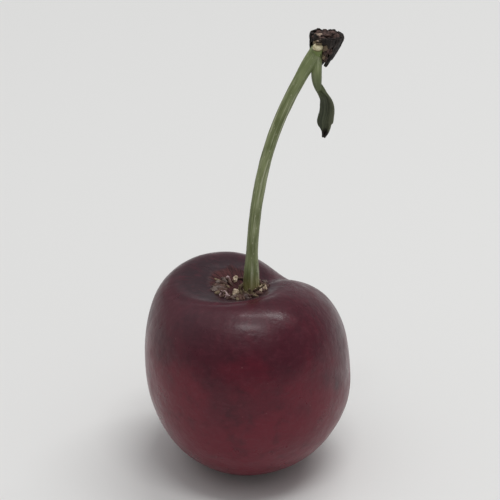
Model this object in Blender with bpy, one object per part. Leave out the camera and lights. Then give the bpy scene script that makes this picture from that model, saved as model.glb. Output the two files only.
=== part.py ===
"""A ripe sweet cherry, as picked, standing on its blossom end.

The pieces are the fruit with its stem cavity and suture groove, the torn ring of dry receptacle in
the cavity, the stem, the dry bud scales round the stem's end and the small bract that hangs there.

Metres, +Z up. The origin is the centre of the small flat spot that the fruit rests on. X runs across
the fruit's narrower way, with the stem bending towards +X, and Y runs from cheek to cheek.
"""

import math
import random

import bmesh
import bpy
from mathutils import Matrix, Vector

MM = 0.001
GAP = 0.3 * MM  # clearance between neighbouring pieces

# Fruit: a rounded body with a squarer top half, worked out as a distance from its centre.
FRUIT_THICKNESS = 26.1 * MM  # along X
FRUIT_WIDTH = 28.8 * MM  # along Y, cheek to cheek
CROWN_RISE = 13.7 * MM  # centre to crown, before the cavity is sunk
BLOSSOM_DROP = 13.7 * MM  # centre to blossom end, before it is pressed flat
CROWN_SQUARENESS = 2.47  # 2 is an ellipsoid, more has fuller shoulders
BLOSSOM_SQUARENESS = 2.08
REST_SAG = 0.45 * MM  # how far the resting spot is pressed in
CAVITY_AXIS = Vector((-0.12, 0.02, 1.0)).normalized()
CAVITY_DEPTH = 3.4 * MM
CAVITY_SPREAD = 0.46  # radians from the cavity's axis
CAVITY_POWER = 3  # 2 is a bell, more has a flatter floor and a firmer rim
LIP_CENTRE = Vector((-2.6, 1.3)) * MM  # a low step runs round part of the cavity
LIP_RADIUS = 6.8 * MM
LIP_SIDE = math.radians(-85)
LIP_SPREAD = math.radians(62)
LIP_DROP = 0.34 * MM
LIP_WIDTH = 0.50 * MM
LIP_FADE = 0.45  # share of the radius over which the sunk side levels out again
SHOULDER_ANGLE = 0.55  # radians from the axis to the rim of the cavity
SHOULDER_SPREAD = 0.45
SHOULDER_TILT = 1.25 * MM  # the rim is this much higher on one side
SHOULDER_TILT_SIDE = math.radians(194)
SHOULDER_WAVE = 0.39 * MM  # and this much higher on two opposite sides
SHOULDER_WAVE_SIDE = math.radians(-49)
SUTURE_SIDE = math.radians(56)
SUTURE_DEPTH = 1.6 * MM
SUTURE_SPREAD = math.radians(21)
SUTURE_ANGLE = 0.60  # radians from the axis to the deepest point of the groove
SUTURE_REACH = 0.90
BELLY_BULGE = 0.48 * MM  # one side is fuller below the middle
BELLY_SIDE = math.radians(-21)
BELLY_ANGLE = 1.95
BELLY_SPREAD = 0.45
POLE_FADE = 0.30  # radians over which uneven features fade in from the axis
STYLE_SCAR_SIDE = math.radians(-70)
STYLE_SCAR_ANGLE = 2.72
STYLE_SCAR_DEPTH = 0.35 * MM
STYLE_SCAR_SPREAD = 0.075
FRUIT_SEGMENTS = 54
FRUIT_RINGS = 38
FRUIT_CENTRE = Vector((0.0, 0.0, BLOSSOM_DROP - REST_SAG))

# Stem: rises from the cavity and bends over towards +X, leaning a little towards +Y.
STEM_FOOT_X = 0.62 * MM
STEM_SUNK = 1.1 * MM  # below the cavity's floor
STEM_RISE = 31.85 * MM  # floor of the cavity to the stem's end
STEM_REACH = 7.95 * MM
STEM_BEND = 2.55  # power of the height that the reach follows
STEM_LEAN = 2.0 * MM
STEM_LEAN_BEND = 1.5
STEM_RADIUS = 0.68 * MM
STEM_FOOT_FLARE = 0.27 * MM
STEM_FLARE_REACH = 0.135  # share of the stem's height
STEM_END_SWELL = 0.13 * MM
STEM_SWELL_REACH = 0.10
STEM_POINTS = 34
STEM_SIDES = 14
SHOOT_TOP = -0.5 * MM  # the side shoot hangs from here, above or below the stem's end
SHOOT_DROP = 4.45 * MM
SHOOT_ASIDE = -0.05 * MM
SHOOT_CURL = 0.24 * MM  # its tip turns this far towards +X
SHOOT_RADIUS = 0.66 * MM
SHOOT_TIP_RADIUS = 0.41 * MM
SHOOT_TAPER = 5  # power of its length that the curl and the taper follow
SCAR_RADIUS = 0.56 * MM  # round scar where a second stem came away
SCAR_HEIGHT = 0.25 * MM  # it stands this much proud of the end
SCAR_FACING = Vector((-0.25, -0.80, 0.55)).normalized()

# Torn receptacle: part of a ring of dry tissue round the foot of the stem, with ragged bits on it.
RING_CENTRE = Vector((-1.0, 0.3)) * MM
RING_RADIUS = 2.6 * MM
RING_WAVER = 0.40 * MM
RING_THICKNESS = 0.65 * MM
RING_START = math.radians(120)
RING_END = math.radians(352)
RING_POINTS = 24
RING_SIDES = 8
TAG_COUNT = 7
TAG_LENGTH = 1.0 * MM
TAG_WIDTH = 1.3 * MM
TAG_THICKNESS = 0.6 * MM
TAG_CUP = 0.1 * MM
CRUMB_COUNT = 9
CRUMB_RADIUS = 0.48 * MM
CRUMB_SCATTER = 0.7 * MM  # how far inside the ring they may lie

# Dry bud scales: a cup past the stem's end, broken off at its wide top, with pointed scales lying
# along it and back over the stem's end.
CUP_FOOT = Vector((0.45, 0.95, -2.35)) * MM  # from the stem's end
CUP_HEAD = Vector((1.26, 0.95, 1.85)) * MM
CUP_LENGTH = (CUP_HEAD - CUP_FOOT).length
SCALE_AXIS = (CUP_HEAD - CUP_FOOT).normalized()
CUP_OUTSIDE = ((0.0, 0.12), (0.10, 0.34), (0.24, 0.60), (0.57, 1.05), (0.84, 1.42), (0.95, 1.50))
CUP_TOP = ((1.0, 1.34), (0.97, 1.04), (0.89, 0.68), (0.86, 0.25))  # share of the length and radius in mm
CUP_EDGE_TILT = 0.40 * MM  # the broken edge is this much higher on one side
CUP_EDGE_HIGH_SIDE = math.radians(5)
CUP_RAGGED = 0.24 * MM  # and goes up and down by this much
CUP_SIDES = 18
SCALE_COUNT = 10
SCALE_TURN = math.radians(137.5)
SCALE_OPENING_SIDE = math.radians(222)  # scales are broken short on this side
SCALE_FLARED_SIDE = math.radians(168)  # and stand away from the cup on this one
SCALE_FLARED_SPREAD = 0.65
SCALE_FLARE = 0.60
SCALE_HALF_WIDTH = 0.88 * MM
SCALE_THICKNESS = 0.6 * MM
SCALE_CUP = 0.26 * MM
SCALE_TIP = 0.10 * MM  # half width of a tip
SCALE_REACH = (0.02, 0.30)  # share of the cup's length that the tips stay short of its foot
SCALE_SHORTENED = 0.55  # added to that on the opening's side

# Bract: a narrow folded leaf that hangs from the side shoot.
BRACT_LENGTH = 6.3 * MM
BRACT_ASIDE = 0.18 * MM  # from the shoot's tip, towards +X
BRACT_BOW = 0.55 * MM  # how far its middle stands out towards +Y
BRACT_STATIONS = (  # share of its length, swing towards +X and half width in millimetres
    (0.00, 0.00, 0.42),
    (0.10, 0.33, 0.52),
    (0.22, 0.70, 0.69),
    (0.36, 0.89, 0.84),
    (0.50, 0.90, 0.91),
    (0.63, 0.75, 1.00),
    (0.72, 0.64, 0.95),
    (0.81, 0.72, 0.64),
    (0.90, 0.70, 0.37),
    (1.00, 0.52, 0.10),
)
BRACT_FOLD = 0.45 * MM
BRACT_THICKNESS = 0.6 * MM
BRACT_FACE = Vector((0.25, 1.0, 0.1)).normalized()
BRACT_ROWS = 20

RING_SEED = 7
SCALE_SEED = 20


def bell(distance, spread):
    """One at no distance, falling smoothly towards nothing past the spread."""
    return math.exp(-((distance / spread) ** 2))


def turn_between(angle, side):
    """The signed turn from side to angle, within half a turn."""
    return (angle - side + math.pi) % (2 * math.pi) - math.pi


def read_stations(stations, share):
    """The values at a share, on a smooth curve through stations of a share and its values."""
    last = len(stations) - 1
    index = max(number for number in range(last) if number == 0 or stations[number][0] <= share)
    before, start = stations[max(index - 1, 0)], stations[index]
    finish, after = stations[index + 1], stations[min(index + 2, last)]
    span = finish[0] - start[0]
    step = (share - start[0]) / span
    values = []
    for number in range(1, len(start)):
        leaving = (finish[number] - before[number]) / (finish[0] - before[0]) * span
        arriving = (after[number] - start[number]) / (after[0] - start[0]) * span
        change = finish[number] - start[number]
        bend = leaving * (1 - step) ** 2 * step - arriving * (1 - step) * step**2
        values.append(start[number] + change * step**2 * (3 - 2 * step) + bend)
    return values


def lip_depth(direction):
    """How far the skin is sunk just inside the low step, which fades in towards one side."""
    if direction.z < 0:
        return 0.0
    place = Vector((direction.x, direction.y)) * CROWN_RISE - LIP_CENTRE
    inside = 1 / (1 + math.exp((place.length - LIP_RADIUS) / LIP_WIDTH))
    side = bell(turn_between(math.atan2(place.y, place.x), LIP_SIDE), LIP_SPREAD)
    near_step = bell(1 - min(place.length / LIP_RADIUS, 1.0), LIP_FADE)
    return LIP_DROP * inside * side * near_step


def skin_direction(theta, phi):
    """The direction from the fruit's centre, theta from the stem's axis and phi round it."""
    flat = math.sin(theta)
    return Vector((flat * math.cos(phi), flat * math.sin(phi), math.cos(theta)))


def fruit_distance(theta, phi):
    """Distance from the fruit's centre to its skin in a direction."""
    direction = skin_direction(theta, phi)
    across = 1 / math.hypot(math.cos(phi) * 2 / FRUIT_THICKNESS, math.sin(phi) * 2 / FRUIT_WIDTH)
    upper = theta < math.pi / 2
    along = CROWN_RISE if upper else BLOSSOM_DROP
    power = CROWN_SQUARENESS if upper else BLOSSOM_SQUARENESS
    body = ((math.sin(theta) / across) ** power + (abs(math.cos(theta)) / along) ** power) ** (-1 / power)
    off_axis = math.acos(max(-1.0, min(1.0, direction.dot(CAVITY_AXIS))))
    cavity = CAVITY_DEPTH * math.exp(-((off_axis / CAVITY_SPREAD) ** CAVITY_POWER))
    away = 1 - bell(theta, POLE_FADE)
    tilt = SHOULDER_TILT * math.cos(phi - SHOULDER_TILT_SIDE)
    wave = SHOULDER_WAVE * math.cos(2 * (phi - SHOULDER_WAVE_SIDE))
    shoulders = away * bell(theta - SHOULDER_ANGLE, SHOULDER_SPREAD) * (tilt + wave)
    groove = SUTURE_DEPTH * bell(turn_between(phi, SUTURE_SIDE), SUTURE_SPREAD)
    suture = away * groove * bell(theta - SUTURE_ANGLE, SUTURE_REACH)
    belly = BELLY_BULGE * bell(theta - BELLY_ANGLE, BELLY_SPREAD) * math.cos(phi - BELLY_SIDE)
    round_scar = turn_between(phi, STYLE_SCAR_SIDE) * math.sin(theta)
    scar = STYLE_SCAR_DEPTH * bell(math.hypot(theta - STYLE_SCAR_ANGLE, round_scar), STYLE_SCAR_SPREAD)
    return body - cavity - lip_depth(direction) + shoulders - suture + belly - scar


def fruit_point(theta, phi):
    """A point of the skin."""
    return FRUIT_CENTRE + skin_direction(theta, phi) * fruit_distance(theta, phi)


def cavity_height(x, y):
    """Height of the skin inside or near the stem cavity, above a point of the ground."""
    reach, phi = math.hypot(x, y), math.atan2(y, x)
    theta = reach / CROWN_RISE
    for _ in range(12):
        theta = math.asin(min(1.0, reach / fruit_distance(theta, phi)))
    return fruit_point(theta, phi).z


STEM_FOOT_Z = cavity_height(STEM_FOOT_X, 0.0)


def stem_point(share):
    """Centre line of the stem: share 0 is the cavity's floor and 1 is the stem's end."""
    rise = max(share, 0.0)
    return Vector(
        (
            STEM_FOOT_X + STEM_REACH * rise**STEM_BEND,
            STEM_LEAN * rise**STEM_LEAN_BEND,
            STEM_FOOT_Z + STEM_RISE * share,
        )
    )


def stem_radius(share):
    """Radius of the stem, flared at its foot and swollen at its end."""
    flare = STEM_FOOT_FLARE * math.exp(-((max(share, 0.0) / STEM_FLARE_REACH) ** 4))
    swell = STEM_END_SWELL * bell(1 - share, STEM_SWELL_REACH)
    return STEM_RADIUS + flare + swell


def material(name, colour, roughness):
    """A plain Principled material."""
    made = bpy.data.materials.new(name)
    made.use_nodes = True
    shader = made.node_tree.nodes["Principled BSDF"]
    shader.inputs["Base Color"].default_value = (*colour, 1.0)
    shader.inputs["Roughness"].default_value = roughness
    shader.inputs["Metallic"].default_value = 0.0
    return made


def add_object(name, mesh, look=None):
    """An object in the scene that holds this bmesh, shaded smooth."""
    bmesh.ops.recalc_face_normals(mesh, faces=mesh.faces[:])
    data = bpy.data.meshes.new(name)
    mesh.to_mesh(data)
    mesh.free()
    data.shade_smooth()
    data.set_sharp_from_angle(angle=math.radians(50))
    if look:
        data.materials.append(look)
    made = bpy.data.objects.new(name, data)
    bpy.context.scene.collection.objects.link(made)
    return made


def apply_boolean(target, operation, cutter=None, pieces=None):
    """Joins a collection of pieces to the target, or cuts it with one object, and applies that."""
    step = target.modifiers.new(operation.title(), "BOOLEAN")
    step.operation = operation
    if pieces:
        step.operand_type = "COLLECTION"
        step.collection = pieces
    else:
        step.object = cutter
    bpy.context.view_layer.update()
    evaluated = target.evaluated_get(bpy.context.evaluated_depsgraph_get())
    result = bpy.data.meshes.new_from_object(evaluated)
    result.name = target.name
    target.modifiers.clear()
    target.data = result


def fuse(target, pieces):
    """Joins loose pieces to the target in one Boolean union and removes them."""
    group = bpy.data.collections.new(target.name + "_pieces")
    for piece in pieces:
        bpy.context.scene.collection.objects.unlink(piece)
        group.objects.link(piece)
    bpy.context.scene.collection.children.link(group)
    apply_boolean(target, "UNION", pieces=group)
    for piece in pieces:
        bpy.data.objects.remove(piece)
    bpy.data.collections.remove(group)
    target.data.shade_smooth()
    target.data.set_sharp_from_angle(angle=math.radians(50))


def cut(target, cutter):
    """Cuts the cutter's shape out of the target and removes the cutter."""
    cutter.hide_render = True
    cutter.display_type = "WIRE"
    apply_boolean(target, "DIFFERENCE", cutter=cutter)
    bpy.data.objects.remove(cutter)
    target.data.shade_smooth()
    target.data.set_sharp_from_angle(angle=math.radians(50))


def keep_largest_body(target):
    """Drops the loose scraps that a cut leaves beside the main body."""
    mesh = bmesh.new()
    mesh.from_mesh(target.data)
    waiting = set(mesh.verts)
    bodies = []
    while waiting:
        body, edge_of_body = set(), [waiting.pop()]
        while edge_of_body:
            vertex = edge_of_body.pop()
            body.add(vertex)
            near = {edge.other_vert(vertex) for edge in vertex.link_edges} & waiting
            waiting -= near
            edge_of_body.extend(near)
        bodies.append(body)
    bodies.sort(key=len)
    scraps = [vertex for body in bodies[:-1] for vertex in body]
    bmesh.ops.delete(mesh, geom=scraps, context="VERTS")
    mesh.to_mesh(target.data)
    mesh.free()


def tube_mesh(centres, radii, sides, up=Vector((0.0, 1.0, 0.0))):
    """A closed round tube through these centres, with a flat cap at each end."""
    mesh = bmesh.new()
    rings = []
    for index, centre in enumerate(centres):
        before, after = centres[max(index - 1, 0)], centres[min(index + 1, len(centres) - 1)]
        along = (after - before).normalized()
        side = up.cross(along).normalized()
        front = along.cross(side)
        ring = []
        for step in range(sides):
            turn = 2 * math.pi * step / sides
            offset = side * math.cos(turn) + front * math.sin(turn)
            ring.append(mesh.verts.new(centre + offset * radii[index]))
        rings.append(ring)
    for lower, upper in zip(rings, rings[1:]):
        for step in range(sides):
            after = (step + 1) % sides
            mesh.faces.new((lower[step], lower[after], upper[after], upper[step]))
    mesh.faces.new(rings[0][::-1])
    mesh.faces.new(rings[-1])
    return mesh


def blade_mesh(route, half_width, face, thickness, cup, rows, fold=2.0):
    """A closed thin blade along a route, cupped or folded across, with both faces split alike."""
    mesh = bmesh.new()
    columns = 4
    front, back = [], []
    for row in range(rows + 1):
        share = row / rows
        ahead, behind = route(min(share + 0.02, 1.0)), route(max(share - 0.02, 0.0))
        along = (ahead - behind).normalized()
        across = along.cross(face).normalized()
        outward = across.cross(along)
        middle, half = route(share), half_width(share)
        front_line, back_line = [], []
        for column in range(columns + 1):
            side = 2 * column / columns - 1
            point = middle + across * side * half + outward * cup * (1 - abs(side) ** fold)
            front_line.append(mesh.verts.new(point + outward * thickness / 2))
            back_line.append(mesh.verts.new(point - outward * thickness / 2))
        front.append(front_line)
        back.append(back_line)
    for row in range(rows):
        for column in range(columns):
            for sheet, turned in ((front, False), (back, True)):
                low, right = sheet[row][column], sheet[row][column + 1]
                top, corner = sheet[row + 1][column], sheet[row + 1][column + 1]
                for triangle in ((low, right, corner), (low, corner, top)):
                    mesh.faces.new(triangle[::-1] if turned else triangle)
    rim = [(row, 0) for row in range(rows)] + [(rows, column) for column in range(columns)]
    rim += [(row, columns) for row in range(rows, 0, -1)] + [(0, column) for column in range(columns, 0, -1)]
    for (row, column), (next_row, next_column) in zip(rim, rim[1:] + rim[:1]):
        upper = (front[row][column], front[next_row][next_column])
        lower = (back[next_row][next_column], back[row][column])
        mesh.faces.new(upper + lower)
    return mesh


def foot_line(extra):
    """Centres and radii round the stem's foot, from under it to above the cavity's floor."""
    centres = [stem_point(share) for share in (-STEM_SUNK / STEM_RISE, 0.0, 0.1)]
    centres[0] -= Vector((0.0, 0.0, extra))
    return centres, [stem_radius(0.0) + extra] * len(centres)


def build_fruit(look):
    """The fruit: a unit sphere shaped by the skin's formula, pressed flat where it rests."""
    mesh = bmesh.new()
    bmesh.ops.create_uvsphere(mesh, u_segments=FRUIT_SEGMENTS, v_segments=FRUIT_RINGS, radius=1.0)
    for vertex in mesh.verts:
        theta = math.acos(max(-1.0, min(1.0, vertex.co.z)))
        vertex.co = fruit_point(theta, math.atan2(vertex.co.y, vertex.co.x))
    everything = mesh.verts[:] + mesh.edges[:] + mesh.faces[:]
    ground = {"plane_co": (0.0, 0.0, 0.0), "plane_no": (0.0, 0.0, 1.0)}
    bmesh.ops.bisect_plane(mesh, geom=everything, dist=0.01 * MM, clear_inner=True, **ground)
    bmesh.ops.holes_fill(mesh, edges=[edge for edge in mesh.edges if edge.is_boundary], sides=0)
    fruit = add_object("fruit", mesh, look)
    cut(fruit, add_object("socket_cutter", tube_mesh(*foot_line(GAP), 24)))
    return fruit


def stem_line(first=-STEM_SUNK / STEM_RISE, extra=0.0):
    """Centres and radii along the stem, rounded off at its end, each radius enlarged by extra."""
    shares = [first + (1.0 - first) * step / STEM_POINTS for step in range(STEM_POINTS + 1)]
    centres = [stem_point(share) for share in shares]
    radii = [stem_radius(share) + extra for share in shares]
    along = (centres[-1] - centres[-2]).normalized()
    end_radius = radii[-1]
    for lift in (0.55, 0.85, 0.97):
        centres.append(stem_point(1.0) + along * end_radius * lift)
        radii.append(end_radius * math.sqrt(1 - lift * lift))
    return centres, radii


def shoot_line(extra=0.0):
    """Centres and radii of the side shoot, hanging from inside the stem's end and tapering."""
    steps = 9
    centres, radii = [], []
    for step in range(steps + 1):
        share = step / steps
        curl = share**SHOOT_TAPER
        place = Vector((SHOOT_ASIDE + SHOOT_CURL * curl, 0.0, SHOOT_TOP - SHOOT_DROP * share))
        centres.append(stem_point(1.0) + place)
        radii.append(SHOOT_RADIUS + (SHOOT_TIP_RADIUS - SHOOT_RADIUS) * curl + extra)
    centres[-1] -= Vector((0.0, 0.0, extra))
    return centres, radii


def scar_mesh(extra=0.0):
    """A short upright disc through the stem's end, enlarged all round by extra."""
    end = stem_point(1.0)
    line = [end, end + SCAR_FACING * (stem_radius(1.0) + SCAR_HEIGHT + extra)]
    return tube_mesh(line, [SCAR_RADIUS + extra] * 2, 12, up=Vector((1.0, 0.0, 0.0)))


def build_stem(look):
    """The stem with its side shoot and the round scar at its end, in one body."""
    stem = add_object("stem", tube_mesh(*stem_line(), STEM_SIDES), look)
    shoot = add_object("shoot", tube_mesh(*shoot_line(), 12))
    scar = add_object("scar", scar_mesh())
    fuse(stem, [shoot, scar])
    return stem


def ring_point(turn, lift):
    """A point of the torn ring's wavering centre line, lifted above the cavity's floor."""
    radius = RING_RADIUS + RING_WAVER * math.sin(3 * turn) * math.cos(turn / 2)
    x = RING_CENTRE.x + radius * math.cos(turn)
    y = RING_CENTRE.y + radius * math.sin(turn)
    return Vector((x, y, cavity_height(x, y) + lift))


def ring_share(share):
    """The turn round the ring at a share of its length."""
    return RING_START + (RING_END - RING_START) * share


def torn_tag(turn, lift, draw):
    """A ragged tag that stands up from the ring, leaning its own way."""
    root = ring_point(turn, lift)
    outward = Vector((math.cos(turn), math.sin(turn), 0.0))
    sideways = Vector((-math.sin(turn), math.cos(turn), 0.0))
    lean = Vector((0.0, 0.0, 1.0)) + outward * draw.uniform(-0.6, 0.6) + sideways * draw.uniform(-0.5, 0.5)
    heading = lean.normalized() * TAG_LENGTH * draw.uniform(0.6, 1.1)
    half = TAG_WIDTH / 2 * draw.uniform(0.7, 1.15)

    def route(share):
        return root + heading * share

    def half_width(share):
        return half * (1 - 0.75 * share**1.5)

    return add_object("tag", blade_mesh(route, half_width, outward, TAG_THICKNESS, TAG_CUP, 3))


def crumb(turn, lift, draw):
    """A small rounded lump on the ring or just inside it."""
    inward = Vector((math.cos(turn), math.sin(turn), 0.0)) * draw.uniform(0.0, -CRUMB_SCATTER)
    place = Matrix.Translation(ring_point(turn, lift) + inward) @ Matrix.Rotation(turn, 4, "Z")
    place @= Matrix.Diagonal((1.1, 1.35, 0.8, 1.0))
    radius = CRUMB_RADIUS * draw.uniform(0.8, 1.2)
    mesh = bmesh.new()
    bmesh.ops.create_icosphere(mesh, subdivisions=1, radius=radius, matrix=place)
    return add_object("crumb", mesh)


def build_receptacle(look):
    """The torn ring: a low bead round most of the stem's foot, with ragged tags and crumbs on it."""
    draw = random.Random(RING_SEED)
    lift = GAP + RING_THICKNESS * 0.60
    centres, radii = [], []
    for step in range(RING_POINTS + 1):
        share = step / RING_POINTS
        centres.append(ring_point(ring_share(share), lift))
        taper = 1 - 0.30 * bell(min(share, 1 - share), 0.08)
        radii.append(RING_THICKNESS / 2 * taper)
    ring = add_object("torn_receptacle", tube_mesh(centres, radii, RING_SIDES, Vector((0, 0, 1))), look)
    bits = []
    for index in range(TAG_COUNT):
        turn = ring_share((index + draw.uniform(0.3, 0.8)) / TAG_COUNT)
        bits.append(torn_tag(turn, lift, draw))
    for index in range(CRUMB_COUNT):
        turn = ring_share((index + draw.uniform(0.1, 0.9)) / CRUMB_COUNT)
        bits.append(crumb(turn, lift + 0.12 * MM, draw))
    fuse(ring, bits)
    cut(ring, add_object("foot_clearance", tube_mesh(*foot_line(GAP), 20)))
    keep_largest_body(ring)
    return ring


def cup_place(along, radius, turn):
    """A point round the cup, along its axis as a share of the length and this far from the axis."""
    second = SCALE_AXIS.cross(Vector((1.0, 0.0, 0.0))).normalized()
    first = second.cross(SCALE_AXIS)
    outward = first * math.cos(turn) + second * math.sin(turn)
    return stem_point(1.0) + CUP_FOOT + SCALE_AXIS * CUP_LENGTH * along + outward * radius


def cup_edge(turn):
    """The height of the cup's broken edge on this side, as a share of the cup's length."""
    return 1.0 + CUP_EDGE_TILT / CUP_LENGTH * math.cos(turn - CUP_EDGE_HIGH_SIDE)


def cup_mesh(draw):
    """The cup's tapered body, turned round its axis, with a dished top and a ragged edge."""
    mesh = bmesh.new()
    ragged = [draw.uniform(-1.0, 0.6) * CUP_RAGGED / CUP_LENGTH for _ in range(CUP_SIDES)]
    wide = [draw.uniform(0.93, 1.04) for _ in range(CUP_SIDES)]
    profile = CUP_OUTSIDE + CUP_TOP
    rings = []
    for number, (along, radius) in enumerate(profile):
        torn = bell(number - len(CUP_OUTSIDE), 1.2)
        ring = []
        for side in range(CUP_SIDES):
            turn = 2 * math.pi * side / CUP_SIDES
            height = along + (ragged[side] + cup_edge(turn) - 1.0) * torn
            place = cup_place(height, radius * wide[side] * MM, turn)
            ring.append(mesh.verts.new(place))
        rings.append(ring)
    for lower, upper in zip(rings, rings[1:]):
        for side in range(CUP_SIDES):
            after = (side + 1) % CUP_SIDES
            mesh.faces.new((lower[side], lower[after], upper[after]))
            mesh.faces.new((lower[side], upper[after], upper[side]))
    mesh.faces.new(rings[0][::-1])
    mesh.faces.new(rings[-1])
    return mesh


def scale_blade(turn, tip, half, draw):
    """One pointed scale lying along the cup, from its broken edge down to a share of its length."""
    flare = SCALE_FLARE * bell(turn_between(turn, SCALE_FLARED_SIDE), SCALE_FLARED_SPREAD)
    stand = draw.uniform(0.02, 0.14) * MM
    root = cup_edge(turn) + draw.uniform(-0.08, 0.02)

    def route(share):
        along = root + (tip - root) * share
        (radius,) = read_stations(CUP_OUTSIDE, min(max(along, 0.0), 0.95))
        return cup_place(along, radius * (1 + flare * (1 - along)) * MM + stand, turn)

    def half_width(share):
        return half * max(1 - share**2.4, 0.0) ** 0.7 + SCALE_TIP

    face = cup_place(0.0, 1.0, turn) - cup_place(0.0, 0.0, turn)
    return add_object("scale", blade_mesh(route, half_width, face, SCALE_THICKNESS, SCALE_CUP, 6))


def build_bud_scales(look):
    """The dry bud scales, fused on their broken cup and clear of the stem and the bract."""
    draw = random.Random(SCALE_SEED)
    scales = add_object("bud_scales", cup_mesh(draw), look)
    blades = []
    for index in range(SCALE_COUNT):
        turn = index * SCALE_TURN + draw.uniform(-0.15, 0.15)
        opening = max(math.cos(turn - SCALE_OPENING_SIDE), 0.0)
        tip = draw.uniform(*SCALE_REACH) + SCALE_SHORTENED * opening
        blades.append(scale_blade(turn, tip, SCALE_HALF_WIDTH * draw.uniform(0.8, 1.05), draw))
    fuse(scales, blades)
    for clearance in (
        tube_mesh(*stem_line(first=0.8, extra=GAP), 20),
        tube_mesh(*shoot_line(extra=GAP), 16),
        scar_mesh(extra=GAP),
        bract_mesh(extra=GAP),
    ):
        cut(scales, add_object("clearance", clearance))
    keep_largest_body(scales)
    return scales


def bract_point(share):
    """Centre line of the bract, hanging from just under the side shoot."""
    centres, _ = shoot_line()
    swing, _ = read_stations(BRACT_STATIONS, share)
    bow = BRACT_BOW * math.sin(math.pi * share)
    return centres[-1] + Vector((BRACT_ASIDE + swing * MM, bow, -GAP - BRACT_LENGTH * share))


def bract_half_width(share):
    """Half width of the bract: a narrow neck, a broad middle and a withered tip."""
    _, half = read_stations(BRACT_STATIONS, share)
    return half * MM


def bract_mesh(extra=0.0):
    """The bract's blade, folded along its rib and enlarged all round by extra."""

    def half_width(share):
        return bract_half_width(share) + extra

    thickness = BRACT_THICKNESS + 2 * extra
    return blade_mesh(bract_point, half_width, BRACT_FACE, thickness, BRACT_FOLD, BRACT_ROWS, fold=1.4)


def build_bract(look):
    """The bract: a small folded leaf."""
    return add_object("bract", bract_mesh(), look)


def main():
    for leftover in list(bpy.data.objects):
        bpy.data.objects.remove(leftover)
    build_fruit(material("cherry_skin", (0.045, 0.006, 0.012), 0.25))
    build_receptacle(material("dry_receptacle", (0.36, 0.22, 0.12), 0.75))
    build_stem(material("green_stem", (0.20, 0.27, 0.09), 0.50))
    build_bud_scales(material("dry_scales", (0.035, 0.022, 0.015), 0.80))
    build_bract(material("bract_leaf", (0.055, 0.070, 0.030), 0.60))


main()
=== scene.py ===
import math
import random

import bmesh
import bpy
from mathutils import Matrix, Vector, noise


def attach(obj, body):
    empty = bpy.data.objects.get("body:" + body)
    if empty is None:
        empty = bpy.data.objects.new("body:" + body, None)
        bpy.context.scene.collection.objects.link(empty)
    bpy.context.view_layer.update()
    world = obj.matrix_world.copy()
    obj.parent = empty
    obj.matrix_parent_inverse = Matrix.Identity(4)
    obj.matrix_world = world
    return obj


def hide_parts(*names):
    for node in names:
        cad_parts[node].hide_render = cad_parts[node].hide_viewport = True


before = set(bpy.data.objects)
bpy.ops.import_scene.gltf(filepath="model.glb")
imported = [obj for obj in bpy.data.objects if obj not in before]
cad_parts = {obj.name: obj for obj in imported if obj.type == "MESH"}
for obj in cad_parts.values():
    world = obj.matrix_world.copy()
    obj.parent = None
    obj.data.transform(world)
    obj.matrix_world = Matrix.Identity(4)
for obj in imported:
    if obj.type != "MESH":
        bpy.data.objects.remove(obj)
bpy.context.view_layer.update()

MM = 0.001
UP = Vector((0.0, 0.0, 1.0))

# ---------------------------------------------------------------- the cherry's driving dimensions
# Fruit: a rounded body with a squarer top half, worked out as a distance from its centre.
FRUIT_THICKNESS = 26.1 * MM  # along X
FRUIT_WIDTH = 28.8 * MM  # along Y, cheek to cheek
CROWN_RISE = 13.7 * MM  # centre to crown, before the cavity is sunk
BLOSSOM_DROP = 13.7 * MM  # centre to blossom end, before it is pressed flat
CROWN_SQUARENESS = 2.47  # 2 is an ellipsoid, more has fuller shoulders
BLOSSOM_SQUARENESS = 2.08
REST_SAG = 0.45 * MM  # how far the resting spot is pressed in
CAVITY_AXIS = Vector((-0.12, 0.02, 1.0)).normalized()
CAVITY_DEPTH = 3.4 * MM
CAVITY_SPREAD = 0.46  # radians from the cavity's axis
CAVITY_POWER = 3  # 2 is a bell, more has a flatter floor and a firmer rim
LIP_CENTRE = Vector((-2.6, 1.3)) * MM  # a low step runs round part of the cavity
LIP_RADIUS = 6.8 * MM
LIP_SIDE = math.radians(-85)
LIP_SPREAD = math.radians(62)
LIP_DROP = 0.34 * MM
LIP_WIDTH = 0.50 * MM
LIP_FADE = 0.45  # share of the radius over which the sunk side levels out again
SHOULDER_ANGLE = 0.55  # radians from the axis to the rim of the cavity
SHOULDER_SPREAD = 0.45
SHOULDER_TILT = 1.25 * MM  # the rim is this much higher on one side
SHOULDER_TILT_SIDE = math.radians(194)
SHOULDER_WAVE = 0.39 * MM  # and this much higher on two opposite sides
SHOULDER_WAVE_SIDE = math.radians(-49)
SUTURE_SIDE = math.radians(56)
SUTURE_DEPTH = 1.6 * MM
SUTURE_SPREAD = math.radians(21)
SUTURE_ANGLE = 0.60  # radians from the axis to the deepest point of the groove
SUTURE_REACH = 0.90
BELLY_BULGE = 0.48 * MM  # one side is fuller below the middle
BELLY_SIDE = math.radians(-21)
BELLY_ANGLE = 1.95
BELLY_SPREAD = 0.45
POLE_FADE = 0.30  # radians over which uneven features fade in from the axis
STYLE_SCAR_SIDE = math.radians(-70)
STYLE_SCAR_ANGLE = 2.72
STYLE_SCAR_DEPTH = 0.35 * MM
STYLE_SCAR_SPREAD = 0.075
FRUIT_CENTRE = Vector((0.0, 0.0, BLOSSOM_DROP - REST_SAG))

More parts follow.
